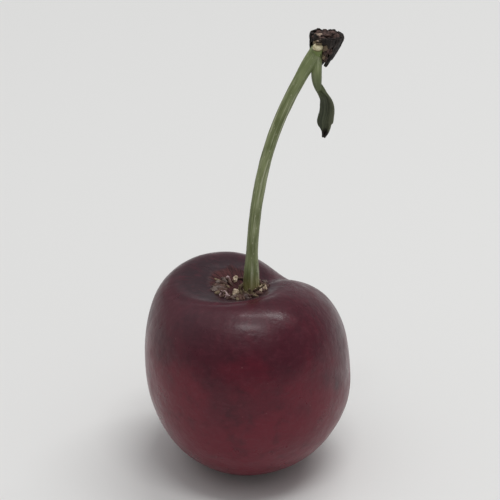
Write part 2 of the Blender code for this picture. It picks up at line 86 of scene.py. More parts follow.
# Stem: rises from the cavity and bends over towards +X, leaning a little towards +Y.
STEM_FOOT_X = 0.62 * MM
STEM_SUNK = 1.1 * MM  # below the cavity's floor
STEM_RISE = 31.85 * MM  # floor of the cavity to the stem's end
STEM_REACH = 7.95 * MM
STEM_BEND = 2.55  # power of the height that the reach follows
STEM_LEAN = 2.0 * MM
STEM_LEAN_BEND = 1.5
STEM_RADIUS = 0.68 * MM
STEM_FOOT_FLARE = 0.27 * MM
STEM_FLARE_REACH = 0.135  # share of the stem's height
STEM_END_SWELL = 0.13 * MM
STEM_SWELL_REACH = 0.10
SHOOT_TOP = -0.5 * MM  # the side shoot hangs from here, above or below the stem's end
SHOOT_DROP = 4.45 * MM
SHOOT_ASIDE = -0.05 * MM
SHOOT_CURL = 0.24 * MM  # its tip turns this far towards +X
SHOOT_RADIUS = 0.66 * MM
SHOOT_TIP_RADIUS = 0.41 * MM
SHOOT_TAPER = 5  # power of its length that the curl and the taper follow
SCAR_RADIUS = 0.56 * MM  # round scar where a second stem came away

# Torn receptacle: part of a ring of dry tissue round the foot of the stem, with ragged bits on it.
RING_CENTRE = Vector((-1.0, 0.3)) * MM
RING_RADIUS = 2.6 * MM
RING_WAVER = 0.40 * MM
RING_START = math.radians(120)
RING_END = math.radians(352)

# Dry bud scales: a cup past the stem's end, broken off at its wide top, with pointed scales lying
# along it and back over the stem's end.
CUP_FOOT = Vector((0.45, 0.95, -2.35)) * MM  # from the stem's end
CUP_HEAD = Vector((1.26, 0.95, 1.85)) * MM
CUP_LENGTH = (CUP_HEAD - CUP_FOOT).length
SCALE_AXIS = (CUP_HEAD - CUP_FOOT).normalized()
CUP_OUTSIDE = (  # share of the length, and radius in millimetres
    (0.0, 0.12),
    (0.10, 0.34),
    (0.24, 0.60),
    (0.57, 1.05),
    (0.84, 1.42),
    (0.95, 1.50),
)
CUP_EDGE_TILT = 0.40 * MM  # the broken edge is this much higher on one side
CUP_EDGE_HIGH_SIDE = math.radians(5)
CUP_RAGGED = 0.24 * MM  # and goes up and down by this much
SCALE_COUNT = 10
SCALE_TURN = math.radians(137.5)
SCALE_OPENING_SIDE = math.radians(222)  # scales are broken short on this side
SCALE_FLARED_SIDE = math.radians(168)  # and stand away from the cup on this one
SCALE_FLARED_SPREAD = 0.65
SCALE_FLARE = 0.60
SCALE_HALF_WIDTH = 0.88 * MM
SCALE_CUP = 0.26 * MM
SCALE_TIP = 0.10 * MM  # half width of a tip
SCALE_REACH = (0.02, 0.30)  # share of the cup's length that the tips stay short of its foot
SCALE_SHORTENED = 0.55  # added to that on the opening's side

# Bract: a narrow folded leaf that hangs from the side shoot.
BRACT_LENGTH = 6.3 * MM
BRACT_ASIDE = 0.18 * MM  # from the shoot's tip, towards +X
BRACT_BOW = 0.55 * MM  # how far its middle stands out towards +Y
BRACT_STATIONS = (  # share of its length, swing towards +X and half width in millimetres
    (0.00, 0.00, 0.42),
    (0.10, 0.33, 0.52),
    (0.22, 0.70, 0.69),
    (0.36, 0.89, 0.84),
    (0.50, 0.90, 0.91),
    (0.63, 0.75, 1.00),
    (0.72, 0.64, 0.95),
    (0.81, 0.72, 0.64),
    (0.90, 0.70, 0.37),
    (1.00, 0.52, 0.10),
)
BRACT_FOLD = 0.45 * MM
BRACT_FACE = Vector((0.25, 1.0, 0.1)).normalized()
BRACT_GAP = 0.3 * MM  # from the shoot's tip

RING_SEED = 7
SCALE_SEED = 20


# ---------------------------------------------------------------- shape rules shared by the pieces
def bell(distance, spread):
    """One at no distance, falling smoothly towards nothing past the spread."""
    return math.exp(-((distance / spread) ** 2))


def turn_between(angle, side):
    """The signed turn from side to angle, within half a turn."""
    return (angle - side + math.pi) % (2 * math.pi) - math.pi


def read_stations(stations, share):
    """The values at a share, on a smooth curve through stations of a share and its values."""
    last = len(stations) - 1
    index = max(number for number in range(last) if number == 0 or stations[number][0] <= share)
    before, start = stations[max(index - 1, 0)], stations[index]
    finish, after = stations[index + 1], stations[min(index + 2, last)]
    span = finish[0] - start[0]
    step = (share - start[0]) / span
    values = []
    for number in range(1, len(start)):
        leaving = (finish[number] - before[number]) / (finish[0] - before[0]) * span
        arriving = (after[number] - start[number]) / (after[0] - start[0]) * span
        change = finish[number] - start[number]
        bend = leaving * (1 - step) ** 2 * step - arriving * (1 - step) * step**2
        values.append(start[number] + change * step**2 * (3 - 2 * step) + bend)
    return values


def lip_depth(direction):
    """How far the skin is sunk just inside the low step, which fades in towards one side."""
    if direction.z < 0:
        return 0.0
    place = Vector((direction.x, direction.y)) * CROWN_RISE - LIP_CENTRE
    inside = 1 / (1 + math.exp((place.length - LIP_RADIUS) / LIP_WIDTH))
    side = bell(turn_between(math.atan2(place.y, place.x), LIP_SIDE), LIP_SPREAD)
    near_step = bell(1 - min(place.length / LIP_RADIUS, 1.0), LIP_FADE)
    return LIP_DROP * inside * side * near_step


def skin_direction(theta, phi):
    """The direction from the fruit's centre, theta from the stem's axis and phi round it."""
    flat = math.sin(theta)
    return Vector((flat * math.cos(phi), flat * math.sin(phi), math.cos(theta)))


def fruit_distance(theta, phi):
    """Distance from the fruit's centre to its skin in a direction."""
    direction = skin_direction(theta, phi)
    across = 1 / math.hypot(math.cos(phi) * 2 / FRUIT_THICKNESS, math.sin(phi) * 2 / FRUIT_WIDTH)
    upper = theta < math.pi / 2
    along = CROWN_RISE if upper else BLOSSOM_DROP
    power = CROWN_SQUARENESS if upper else BLOSSOM_SQUARENESS
    body = ((math.sin(theta) / across) ** power + (abs(math.cos(theta)) / along) ** power) ** (-1 / power)
    off_axis = math.acos(max(-1.0, min(1.0, direction.dot(CAVITY_AXIS))))
    cavity = CAVITY_DEPTH * math.exp(-((off_axis / CAVITY_SPREAD) ** CAVITY_POWER))
    away = 1 - bell(theta, POLE_FADE)
    tilt = SHOULDER_TILT * math.cos(phi - SHOULDER_TILT_SIDE)
    wave = SHOULDER_WAVE * math.cos(2 * (phi - SHOULDER_WAVE_SIDE))
    shoulders = away * bell(theta - SHOULDER_ANGLE, SHOULDER_SPREAD) * (tilt + wave)
    groove = SUTURE_DEPTH * bell(turn_between(phi, SUTURE_SIDE), SUTURE_SPREAD)
    suture = away * groove * bell(theta - SUTURE_ANGLE, SUTURE_REACH)
    belly = BELLY_BULGE * bell(theta - BELLY_ANGLE, BELLY_SPREAD) * math.cos(phi - BELLY_SIDE)
    round_scar = turn_between(phi, STYLE_SCAR_SIDE) * math.sin(theta)
    scar = STYLE_SCAR_DEPTH * bell(math.hypot(theta - STYLE_SCAR_ANGLE, round_scar), STYLE_SCAR_SPREAD)
    return body - cavity - lip_depth(direction) + shoulders - suture + belly - scar


def fruit_point(theta, phi):
    """A point of the skin."""
    return FRUIT_CENTRE + skin_direction(theta, phi) * fruit_distance(theta, phi)


def cavity_height(x, y):
    """Height of the skin inside or near the stem cavity, above a point of the ground."""
    reach, phi = math.hypot(x, y), math.atan2(y, x)
    theta = reach / CROWN_RISE
    for _ in range(12):
        theta = math.asin(min(1.0, reach / fruit_distance(theta, phi)))
    return fruit_point(theta, phi).z


STEM_FOOT_Z = cavity_height(STEM_FOOT_X, 0.0)


def stem_point(share):
    """Centre line of the stem: share 0 is the cavity's floor and 1 is the stem's end."""
    rise = max(share, 0.0)
    return Vector(
        (
            STEM_FOOT_X + STEM_REACH * rise**STEM_BEND,
            STEM_LEAN * rise**STEM_LEAN_BEND,
            STEM_FOOT_Z + STEM_RISE * share,
        )
    )


def stem_radius(share):
    """Radius of the stem, flared at its foot and swollen at its end."""
    flare = STEM_FOOT_FLARE * math.exp(-((max(share, 0.0) / STEM_FLARE_REACH) ** 4))
    swell = STEM_END_SWELL * bell(1 - share, STEM_SWELL_REACH)
    return STEM_RADIUS + flare + swell


def shoot_point(share):
    """Centre line of the side shoot, hanging from inside the stem's end."""
    curl = max(share, 0.0) ** SHOOT_TAPER
    return stem_point(1.0) + Vector((SHOOT_ASIDE + SHOOT_CURL * curl, 0.0, SHOOT_TOP - SHOOT_DROP * share))


def shoot_radius(share):
    """Radius of the side shoot, which tapers towards its tip."""
    return SHOOT_RADIUS + (SHOOT_TIP_RADIUS - SHOOT_RADIUS) * max(share, 0.0) ** SHOOT_TAPER


def ring_point(turn, lift=0.0, spread=0.0):
    """A point of the torn ring's wavering centre line, lifted above the cavity's floor."""
    radius = RING_RADIUS + RING_WAVER * math.sin(3 * turn) * math.cos(turn / 2) + spread
    x = RING_CENTRE.x + radius * math.cos(turn)
    y = RING_CENTRE.y + radius * math.sin(turn)
    return Vector((x, y, cavity_height(x, y) + lift))


def cup_place(along, radius, turn):
    """A point round the cup, along its axis as a share of the length and this far from the axis."""
    second = SCALE_AXIS.cross(Vector((1.0, 0.0, 0.0))).normalized()
    first = second.cross(SCALE_AXIS)
    outward = first * math.cos(turn) + second * math.sin(turn)
    return stem_point(1.0) + CUP_FOOT + SCALE_AXIS * CUP_LENGTH * along + outward * radius


def cup_edge(turn):
    """The height of the cup's broken edge on this side, as a share of the cup's length."""
    return 1.0 + CUP_EDGE_TILT / CUP_LENGTH * math.cos(turn - CUP_EDGE_HIGH_SIDE)


def bract_point(share):
    """Centre line of the bract, hanging from the side shoot's tip."""
    swing, _ = read_stations(BRACT_STATIONS, share)
    bow = BRACT_BOW * math.sin(math.pi * share)
    return shoot_point(1.0) + Vector((BRACT_ASIDE + swing * MM, bow, -BRACT_GAP - BRACT_LENGTH * share))


def bract_half_width(share):
    """Half width of the bract: a narrow neck, a broad middle and a withered tip."""
    _, half = read_stations(BRACT_STATIONS, share)
    return half * MM


# ---------------------------------------------------------------- modelling helpers
def noise_at(point, size, seed=0.0):
    """Smooth noise between about -1 and 1, with lumps of this size."""
    return noise.noise(point / size + Vector((seed, seed * 1.7, -seed)))


def finish_piece(name, mesh, looks, node, smooth_angle=60.0):
    """Turns a bmesh into a piece at the origin that stands for a node of the part."""
    data = bpy.data.meshes.new(name)
    mesh.to_mesh(data)
    mesh.free()
    data.shade_smooth()
    data.set_sharp_from_angle(angle=math.radians(smooth_angle))
    for look in looks:
        data.materials.append(look)
    piece = bpy.data.objects.new(name, data)
    bpy.context.scene.collection.objects.link(piece)
    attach(piece, "root")
    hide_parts(node)
    return piece


def grain_layer(mesh):
    """The vector kept at each point of a swept or bladed piece: across, across, along, in millimetres."""
    return mesh.verts.layers.float_vector.get("grain") or mesh.verts.layers.float_vector.new("grain")


def ring_place(centres, radii, index, up):
    """The matrix that carries a flat unit ring to this place of a sweep."""
    before, after = centres[max(index - 1, 0)], centres[min(index + 1, len(centres) - 1)]
    along = (after - before).normalized()
    side = up.cross(along).normalized()
    front = along.cross(side)
    turned = Matrix((side, front, along)).transposed().to_4x4()
    return Matrix.Translation(centres[index]) @ turned @ Matrix.Scale(radii[index], 4)


def sweep(mesh, centres, radii, sides, up=Vector((0.0, 1.0, 0.0)), relief=None, look=0, start=0.0):
    """Extrudes a ring of points along a line and closes both ends.

    relief(turn, length) is the height of the surface, as a share of the radius, and start is the
    length that the line is taken to have behind it.
    """
    grain = grain_layer(mesh)
    ring = bmesh.ops.create_circle(mesh, segments=sides, radius=1.0)["verts"]
    place = ring_place(centres, radii, 0, up)
    bmesh.ops.transform(mesh, matrix=place, verts=ring)
    rings, places, length = [ring], [place], [start]
    edges = list(dict.fromkeys(edge for vertex in ring for edge in vertex.link_edges))
    first_edges = edges
    for index in range(1, len(centres)):
        made = bmesh.ops.extrude_edge_only(mesh, edges=edges)["geom"]
        ring = [item for item in made if isinstance(item, bmesh.types.BMVert)]
        edges = [item for item in made if isinstance(item, bmesh.types.BMEdge)]
        place = ring_place(centres, radii, index, up)
        bmesh.ops.transform(mesh, matrix=place @ places[-1].inverted(), verts=ring)
        rings.append(ring)
        places.append(place)
        length.append(length[-1] + (centres[index] - centres[index - 1]).length)
    widest = max(radii)
    for ring, place, reach, centre in zip(rings, places, length, centres):
        back = place.inverted()
        for vertex in ring:
            flat = back @ vertex.co
            vertex[grain] = (flat.x * widest / MM, flat.y * widest / MM, reach / MM)
            if relief:
                height = relief(math.atan2(flat.y, flat.x), reach)
                vertex.co = centre + (vertex.co - centre) * (1 + height)
    bmesh.ops.edgeloop_fill(mesh, edges=first_edges, mat_nr=look)
    bmesh.ops.edgeloop_fill(mesh, edges=edges, mat_nr=look)
    faces = list(dict.fromkeys(face for ring in rings for vertex in ring for face in vertex.link_faces))
    for face in faces:
        face.material_index = look
    bmesh.ops.recalc_face_normals(mesh, faces=faces)


def blade(mesh, route, half_width, face, cup, rows, columns=6, fold=2.0, ragged=0.0, seed=0.0, look=0):
    """A thin sheet along a route, cupped or folded across, from a flat grid of points."""
    grain = grain_layer(mesh)
    made = bmesh.ops.create_grid(mesh, x_segments=columns, y_segments=rows, size=1.0)["verts"]
    for vertex in made:
        side, share = vertex.co.x, (vertex.co.y + 1) / 2
        ahead, behind = route(min(share + 0.02, 1.0)), route(max(share - 0.02, 0.0))
        along = (ahead - behind).normalized()
        across = along.cross(face).normalized()
        outward = across.cross(along)
        middle, half = route(share), half_width(share)
        wave = noise_at(Vector((side, share * 6.0, seed)), 0.7, seed) * ragged
        point = middle + across * side * (half + wave) + outward * cup * (1 - abs(side) ** fold)
        point += outward * noise_at(Vector((side * 2.0, share * 5.0, seed)), 1.0, seed + 3.1) * ragged
        vertex.co = point
        vertex[grain] = (side * half / MM, seed * 3.0, (middle - route(0.0)).length / MM)
    for face_made in {face for vertex in made for face in vertex.link_faces}:
        face_made.material_index = look


def lump(mesh, place, size, roughness, seed, look):
    """A small irregular lump: a ball stretched to a size and pushed about by noise."""
    made = bmesh.ops.create_icosphere(mesh, subdivisions=4, radius=1.0)["verts"]
    for vertex in made:
        point = vertex.co.copy()
        push = 1 + roughness * (noise_at(point, 0.9, seed) + 0.5 * noise_at(point, 0.4, seed + 5))
        vertex.co = Vector((point.x * size[0], point.y * size[1], point.z * size[2])) * push
    bmesh.ops.transform(mesh, matrix=place, verts=made)
    for face in {face for vertex in made for face in vertex.link_faces}:
        face.material_index = look


def thicken(piece, thickness, group=""):
    """Gives a sheet its thickness about its middle, by a vertex group's weights, and rounds it off."""
    wall = piece.modifiers.new("Wall", "SOLIDIFY")
    wall.thickness = thickness
    wall.offset = 0.0
    wall.use_rim = True
    wall.vertex_group = group
    smooth = piece.modifiers.new("Smooth", "SUBSURF")
    smooth.levels = 1
    smooth.render_levels = 1


# ---------------------------------------------------------------- material helpers
class Look:
    """A procedural material, wired with short calls."""

    def __init__(self, name, **sockets):
        self.material = bpy.data.materials.new(name)
        self.material.use_nodes = True
        self.tree = self.material.node_tree
        self.shader = self.tree.nodes["Principled BSDF"]
        for socket, value in sockets.items():
            self.shader.inputs[socket.replace("_", " ")].default_value = value
        self.relief = None

    def node(self, kind, **settings):
        """A new node with its settings."""
        made = self.tree.nodes.new("ShaderNode" + kind)
        for key, value in settings.items():
            setattr(made, key, value)
        return made

    def feed(self, socket, value):
        """Wires an output to a socket, or sets the socket to a plain value."""
        if isinstance(value, bpy.types.NodeSocket):
            self.tree.links.new(value, socket)
        elif isinstance(value, tuple) and len(value) == 3 and socket.type == "RGBA":
            socket.default_value = (*value, 1.0)
        else:
            socket.default_value = value

    def position(self):
        """The place on the piece, in millimetres."""
        place = self.node("TexCoord").outputs["Object"]
        grown = self.node("VectorMath", operation="SCALE")
        self.feed(grown.inputs[0], place)
        grown.inputs["Scale"].default_value = 1 / MM
        return grown.outputs[0]

    def attribute(self, name):
        """A value kept at the points of the piece."""
        return self.node("Attribute", attribute_name=name)

    def stretch(self, vector, scale):
        """The same place, measured with another scale along each axis."""
        made = self.node("Mapping")
        self.feed(made.inputs["Vector"], vector)
        made.inputs["Scale"].default_value = scale
        return made.outputs[0]

    def noise(self, vector, scale, detail=3.0, roughness=0.55, distortion=0.0):
        """Cloudy values between 0 and 1."""
        made = self.node("TexNoise")
        self.feed(made.inputs["Vector"], vector)
        made.inputs["Scale"].default_value = scale
        made.inputs["Detail"].default_value = detail
        made.inputs["Roughness"].default_value = roughness
        made.inputs["Distortion"].default_value = distortion
        return made.outputs["Fac"]

    def cells(self, vector, scale):
        """Distance from the middle of the nearest of many scattered cells."""
        made = self.node("TexVoronoi")
        self.feed(made.inputs["Vector"], vector)
        made.inputs["Scale"].default_value = scale
        return made.outputs["Distance"]

    def band(self, value, low, high, out_low=0.0, out_high=1.0):
        """Maps a value from one range to another, smoothly and clamped."""
        made = self.node("MapRange", interpolation_type="SMOOTHSTEP")
        self.feed(made.inputs["Value"], value)
        made.inputs["From Min"].default_value = low
        made.inputs["From Max"].default_value = high
        made.inputs["To Min"].default_value = out_low
        made.inputs["To Max"].default_value = out_high
        return made.outputs["Result"]

    def maths(self, operation, first, second=0.0):
        """One sum on one or two values."""
        made = self.node("Math", operation=operation)
        self.feed(made.inputs[0], first)
        self.feed(made.inputs[1], second)
        return made.outputs[0]

    def mix(self, factor, first, second):
        """A colour between two, 0 for the first and 1 for the second."""
        made = self.node("Mix", data_type="RGBA")
        self.feed(made.inputs[0], factor)
        self.feed(made.inputs[6], first)
        self.feed(made.inputs[7], second)
        return made.outputs[2]

    def raise_by(self, height, distance):
        """Adds a layer of fine relief, with its full height given."""
        made = self.node("Bump")
        made.inputs["Distance"].default_value = distance
        made.inputs["Strength"].default_value = 1.0
        self.feed(made.inputs["Height"], height)
        if self.relief:
            self.feed(made.inputs["Normal"], self.relief)
        self.relief = made.outputs["Normal"]

    def finish(self, colour, roughness):
        """Wires the colour, roughness and relief to the shader, and gives the material."""
        self.feed(self.shader.inputs["Base Color"], colour)
        self.feed(self.shader.inputs["Roughness"], roughness)
        if self.relief:
            self.feed(self.shader.inputs["Normal"], self.relief)
        return self.material


# ---------------------------------------------------------------- the looks
def ripe_skin():
    """Dark ripe skin: wine to red, with painted shade in the cavity, faint stripes, pale dots, a painted
    highlight just inside the lip and a pale shoulder patch of wax and painted sheen.
    """
    look = Look("Ripe cherry skin", IOR=1.34, Coat_Weight=0.12, Coat_Roughness=0.18, Coat_IOR=1.38)
    place = look.position()
    stripes = look.attribute("meridian").outputs["Vector"]
    ripeness = look.attribute("ripeness").outputs["Fac"]
    painted_cavity_shade = look.attribute("painted_cavity_shade").outputs["Fac"]
    torn = look.attribute("torn").outputs["Fac"]
    painted_sheen_and_wax = look.attribute("painted_sheen_and_wax").outputs["Fac"]
    cloud = look.noise(place, 0.16, 3.0, 0.5)
    blush = look.maths("ADD", ripeness, look.band(cloud, 0.3, 0.7, -0.25, 0.25))
    colour = look.mix(look.band(blush, 0.0, 0.9), (0.058, 0.0062, 0.0145), (0.136, 0.0075, 0.0200))
    # Painted shade: the skin inside the cavity is coloured darker.
    colour = look.mix(painted_cavity_shade, colour, (0.029, 0.0115, 0.0165))
    fine_stripes = look.noise(look.stretch(stripes, (1.0, 1.0, 0.30)), 0.7, 3.0, 0.55)
    colour = look.mix(look.band(fine_stripes, 0.50, 0.80, 0.0, 0.20), colour, (0.150, 0.012, 0.026))
    blotches = look.noise(place, 0.45, 4.0, 0.6, 0.4)
    colour = look.mix(look.band(blotches, 0.50, 0.80, 0.0, 0.60), colour, (0.032, 0.0035, 0.0090))
    mottle = look.noise(look.stretch(place, (0.8, 1.0, 1.4)), 1.1, 3.0, 0.55, 0.4)
    colour = look.mix(look.band(mottle, 0.46, 0.74, 0.0, 0.20), colour, (0.150, 0.030, 0.046))
    # Painted highlight: a pale grey-mauve band just inside the lip, and a pale shoulder patch that is
    # partly wax and partly painted sheen.
    colour = look.mix(look.maths("MULTIPLY", painted_sheen_and_wax, 0.60), colour, (0.085, 0.060, 0.068))
    dots = look.band(look.cells(place, 0.75), 0.045, 0.075, 1.0, 0.0)
    sparse = look.band(look.noise(place, 0.45, 1.0), 0.48, 0.60)
    dots = look.maths("MULTIPLY", dots, sparse)
    colour = look.mix(look.maths("MULTIPLY", dots, 0.30), colour, (0.30, 0.14, 0.13))
    fibres = look.noise(look.stretch(stripes, (1.0, 1.0, 0.25)), 2.6, 3.0, 0.6)
    flesh = look.mix(look.band(fibres, 0.35, 0.65), (0.024, 0.0055, 0.0070), (0.090, 0.026, 0.027))
    colour = look.mix(torn, colour, flesh)
    look.raise_by(look.noise(place, 0.9, 2.0, 0.5), 0.060 * MM)
    look.raise_by(mottle, 0.024 * MM)
    look.raise_by(look.noise(place, 2.2, 2.0, 0.5), 0.012 * MM)
    look.raise_by(look.maths("MULTIPLY", torn, fibres), 0.20 * MM)
    wax = look.noise(place, 0.30, 4.0, 0.6, 0.3)
    roughness = look.maths("ADD", look.band(wax, 0.3, 0.75, 0.27, 0.44), look.maths("MULTIPLY", dots, 0.15))
    return look.finish(colour, look.maths("ADD", roughness, look.maths("MULTIPLY", torn, 0.50)))


def green_stalk():
    """Fresh stalk: green with lengthwise fibres, pale flecks, an olive foot and a browner end."""
    look = Look("Fresh green stalk", IOR=1.42)
    grain = look.attribute("grain").outputs["Vector"]
    split = look.node("SeparateXYZ")
    look.feed(split.inputs[0], grain)
    length = split.outputs["Z"]
    fibres = look.noise(look.stretch(grain, (3.2, 3.2, 0.18)), 1.0, 4.0, 0.65)
    patches = look.noise(look.stretch(grain, (0.8, 0.8, 0.35)), 1.0, 3.0, 0.5)
    colour = look.mix(look.band(patches, 0.3, 0.7), (0.130, 0.155, 0.055), (0.250, 0.285, 0.130))
    colour = look.mix(look.band(fibres, 0.50, 0.68, 0.0, 0.90), colour, (0.46, 0.48, 0.32))
    colour = look.mix(look.band(fibres, 0.30, 0.46, 0.80, 0.0), colour, (0.055, 0.070, 0.022))
    flecks = look.band(look.cells(look.stretch(grain, (2.0, 2.0, 1.1)), 1.0), 0.10, 0.20, 1.0, 0.0)
    colour = look.mix(look.maths("MULTIPLY", flecks, 0.55), colour, (0.48, 0.48, 0.34))
    foot = look.band(length, 1.6, 4.6, 0.85, 0.0)
    foot_colour = look.mix(look.band(fibres, 0.4, 0.6), (0.170, 0.140, 0.035), (0.34, 0.31, 0.14))
    colour = look.mix(foot, colour, foot_colour)
    colour = look.mix(look.band(length, 26.0, 33.0, 0.0, 0.45), colour, (0.20, 0.25, 0.10))
    colour = look.mix(look.band(length, 34.5, 37.2, 0.0, 0.75), colour, (0.085, 0.105, 0.045))
    look.raise_by(fibres, 0.050 * MM)
    look.raise_by(look.noise(grain, 5.0, 2.0), 0.012 * MM)
    return look.finish(colour, look.band(fibres, 0.3, 0.7, 0.58, 0.40))


def dry_tissue(name, dark, light, rough=0.8, scale=2.2):
    """Dry plant tissue between two colours, mottled, streaked and slightly flaky."""
    look = Look(name, IOR=1.4)
    place = look.position()
    mottle = look.noise(place, scale, 4.0, 0.65, 0.4)
    colour = look.mix(look.band(mottle, 0.32, 0.68), dark, light)
    specks = look.noise(place, scale * 4.5, 2.0)
    colour = look.mix(look.band(specks, 0.55, 0.75, 0.0, 0.5), colour, tuple(0.45 * part for part in dark))
    look.raise_by(mottle, 0.06 * MM)
    look.raise_by(specks, 0.02 * MM)
    return look.finish(colour, look.band(mottle, 0.3, 0.7, rough, rough - 0.22))


def dark_scale():
    """Dead bud scale: near-black brown with lengthwise ribs, greyer on the ribs and in scattered patches.
    """
    look = Look("Dead bud scale", IOR=1.4)
    grain = look.attribute("grain").outputs["Vector"]
    place = look.position()
    ribs = look.noise(look.stretch(grain, (5.0, 1.0, 0.45)), 1.0, 4.0, 0.65, 0.3)
    colour = look.mix(look.band(ribs, 0.35, 0.70), (0.0045, 0.0030, 0.0025), (0.026, 0.016, 0.012))
    patches = look.noise(place, 0.9, 3.0, 0.6)
    colour = look.mix(look.band(patches, 0.56, 0.74, 0.0, 0.60), colour, (0.055, 0.040, 0.032))
    look.raise_by(ribs, 0.14 * MM)
    look.raise_by(look.noise(place, 7.0, 3.0), 0.03 * MM)
    return look.finish(colour, look.band(ribs, 0.3, 0.7, 0.80, 0.52))


def pale_scar():
    """The scar at the stem's end: cream corky tissue with a browner edge on a green skirt."""
    look = Look("Pale corky scar", IOR=1.4)
    grain = look.attribute("grain").outputs["Vector"]
    split = look.node("SeparateXYZ")
    look.feed(split.inputs[0], grain)
    mottle = look.noise(look.position(), 2.6, 4.0, 0.65, 0.4)
    depth = look.maths("ADD", split.outputs["Z"], look.maths("MULTIPLY", mottle, 0.14))
    cork = look.mix(look.band(mottle, 0.32, 0.68), (0.36, 0.31, 0.17), (0.62, 0.56, 0.38))
    colour = look.mix(look.band(depth, 0.74, 0.80), (0.12, 0.10, 0.035), cork)
    colour = look.mix(look.band(depth, 0.56, 0.72), (0.17, 0.22, 0.07), colour)
    look.raise_by(mottle, 0.05 * MM)
    return look.finish(colour, look.band(mottle, 0.3, 0.7, 0.72, 0.50))


def bract_leaf():
    """Drying leaf: dark grey-green with lighter veins and midrib, painted light on the half towards +X and
    painted shade on the other half of the fold, and a black withered tip.
    """
    look = Look("Drying bract leaf", IOR=1.42)
    grain = look.attribute("grain").outputs["Vector"]
    split = look.node("SeparateXYZ")
    look.feed(split.inputs[0], grain)
    length, across = split.outputs["Z"], look.maths("ABSOLUTE", split.outputs["X"])
    veins = look.noise(look.stretch(grain, (4.5, 1.0, 0.22)), 1.0, 3.0, 0.6, 0.2)
    colour = look.mix(look.band(veins, 0.36, 0.68), (0.030, 0.036, 0.018), (0.075, 0.086, 0.046))
    # Painted light: the half of the blade towards +X is lighter, as if lit, and the other half stays dark
    # as its shade.
    colour = look.mix(look.band(split.outputs["X"], 0.0, 0.9, 0.0, 0.65), colour, (0.135, 0.140, 0.085))
    rib = look.band(across, 0.03, 0.12, 0.40, 0.0)
    colour = look.mix(rib, colour, (0.115, 0.125, 0.070))
    neck = look.band(length, 0.4, 2.4, 0.85, 0.0)
    colour = look.mix(neck, colour, (0.095, 0.115, 0.048))
    wither = look.maths("ADD", length, look.maths("MULTIPLY", look.noise(grain, 1.6, 2.0), 1.6))
    colour = look.mix(look.band(wither, 6.6, 7.2, 0.0, 1.0), colour, (0.012, 0.008, 0.006))
    look.raise_by(veins, 0.09 * MM)
    look.raise_by(look.noise(look.position(), 5.0, 3.0), 0.02 * MM)
    return look.finish(colour, look.band(veins, 0.3, 0.7, 0.66, 0.46))


# ---------------------------------------------------------------- the fruit
FRUIT_SEGMENTS = 240
FRUIT_RINGS = 164
REST_ROUNDING = 0.35 * MM  # how softly the skin turns into the flat spot it rests on
SOFT_LUMPS = 0.10 * MM
SOFT_LUMP_SIZE = 6.5 * MM
SMALL_DIMPLES = 0.014 * MM
SMALL_DIMPLE_SIZE = 1.5 * MM
SKIN_INSET = 0.03 * MM  # keeps the lumps within the fruit's size
STRIPE_RADIUS = 13  # mm, for the stripes from stem to blossom end
UPPER_ANGLE = 1.2  # radians from the axis; features of the crown stop here
RIPEST_SIDE = math.radians(235)
LIP_BEAD = 0.13 * MM  # a fine roll along the lip's edge
LIP_CREASE = 0.15 * MM  # and a shallow crease outside it
LIP_BEAD_SIDE = math.radians(-105)
SHEEN_AND_WAX_SIDE = math.radians(218)  # a soft pale patch on one shoulder, partly wax and partly painted sheen
SHEEN_AND_WAX_SPREAD = math.radians(30)
SHEEN_AND_WAX_ANGLE = 0.82  # radians from the axis
TORN_CENTRE = Vector((-1.2, 1.5)) * MM  # the torn flesh that the ring of tissue surrounds
TORN_RADIUS = 3.3 * MM


def resting_height(height):
    """Presses the skin against the ground with a soft turn instead of a sharp edge."""
    if height > 3 * REST_ROUNDING:
        return height
    raised = max(height, 0.0)
    flat = bell(raised, 0.9 * REST_ROUNDING)
    return REST_ROUNDING * math.log1p(math.exp(height / REST_ROUNDING)) * (1 - flat) + raised * flat


def fade(distance, soft):
    """1 well inside an edge, 0 well outside it, with a smooth change over twice this softness."""
    share = max(min(0.5 - distance / (2 * soft), 1.0), 0.0)
    return share * share * (3 - 2 * share)


